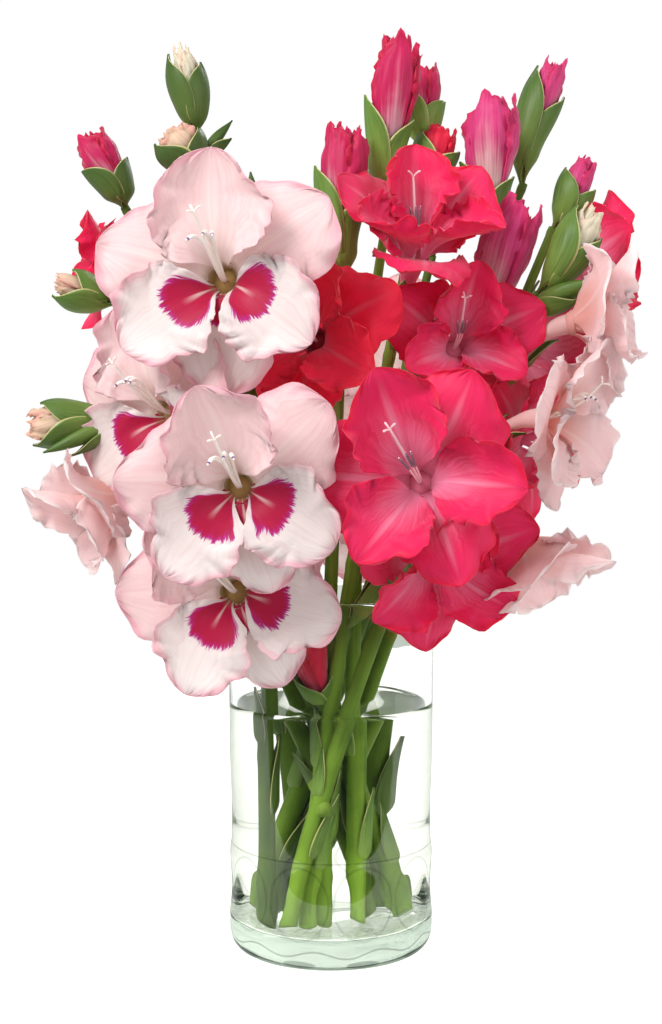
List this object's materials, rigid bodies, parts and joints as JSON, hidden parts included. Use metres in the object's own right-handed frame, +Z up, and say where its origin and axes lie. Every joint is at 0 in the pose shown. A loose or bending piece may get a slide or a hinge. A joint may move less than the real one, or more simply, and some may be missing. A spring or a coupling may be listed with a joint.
{
  "type": "bunch of cut gladiolus in a glass vase",
  "caption": "Bunch of cut gladiolus spikes with ruffled blooms, furled buds and green bracts, standing in a clear glass cylinder vase of water.",
  "frame": {"origin": "middle of the vase's flat foot, on the surface it stands on", "axes": "+Z up the vase, -Y towards the front of the bunch, +X to its right"},
  "size_m": [0.3288, 0.2499, 0.4898],
  "materials": {
    "glass": "clear pressed glass, smooth and bright, with a grey-green edge",
    "water": "clear still water",
    "green": "fresh stems and bracts, waxy, ribbed along their length",
    "stamen": "matt white filaments with mauve anthers",
    "petal_pale": "soft satin petals, pale pink with deeper margins and crimson blotches",
    "petal_hot": "soft satin petals, hot pink with pale midribs and fine veins",
    "bud_rose": "furled satin petals, rose with white streaks at the base",
    "bud_peach": "furled satin petals, cream to peach"
  },
  "bodies": {
    "root": {"vase": "glass", "water": "water", "spike_a": "green", "spike_b": "green", "spike_c": "green", "spike_d": "green", "spike_e": "green", "spike_f": "green", "spike_g": "green", "spike_h": "green", "spike_i": "green", "spike_j": "green", "spike_k": "green", "spike_m": "green", "spike_n": "green", "bud_a5": "bud_peach", "bud_a6": "bud_peach", "bud_b2": "bud_peach", "bud_c1": "bud_peach", "bud_c2": "bud_rose", "bud_d3": "bud_rose", "bud_e2": "bud_rose", "bud_e3": "petal_hot", "bud_f2": "bud_rose", "bud_g5": "petal_hot", "bud_g6": "bud_rose", "bud_h3": "bud_rose", "bud_h4": "bud_rose", "bud_i2": "bud_rose", "bud_j2": "bud_rose", "bud_j3": "bud_rose", "bud_k4": "bud_peach", "stamens_a1": "stamen", "stamens_a2": "stamen", "stamens_a3": "stamen", "stamens_a4": "stamen", "stamens_g2": "stamen", "stamens_k2": "stamen", "floret_a1": "petal_pale", "floret_a2": "petal_pale", "floret_a3": "petal_pale", "floret_a4": "petal_pale", "floret_b1": "petal_pale", "floret_d1": "petal_hot", "floret_d2": "petal_hot", "floret_e1": "petal_hot", "floret_g1": "petal_hot", "floret_g2": "petal_hot", "floret_g3": "petal_hot", "floret_g4": "petal_hot", "floret_h2": "petal_hot", "floret_i1": "petal_hot", "floret_j1": "petal_hot", "floret_k1": "petal_pale", "floret_k2": "petal_pale", "floret_k3": "petal_pale", "floret_m1": "petal_hot", "floret_m2": "petal_hot", "floret_n1": "petal_pale", "floret_n2": "petal_pale"}
  },
  "joints": []
}
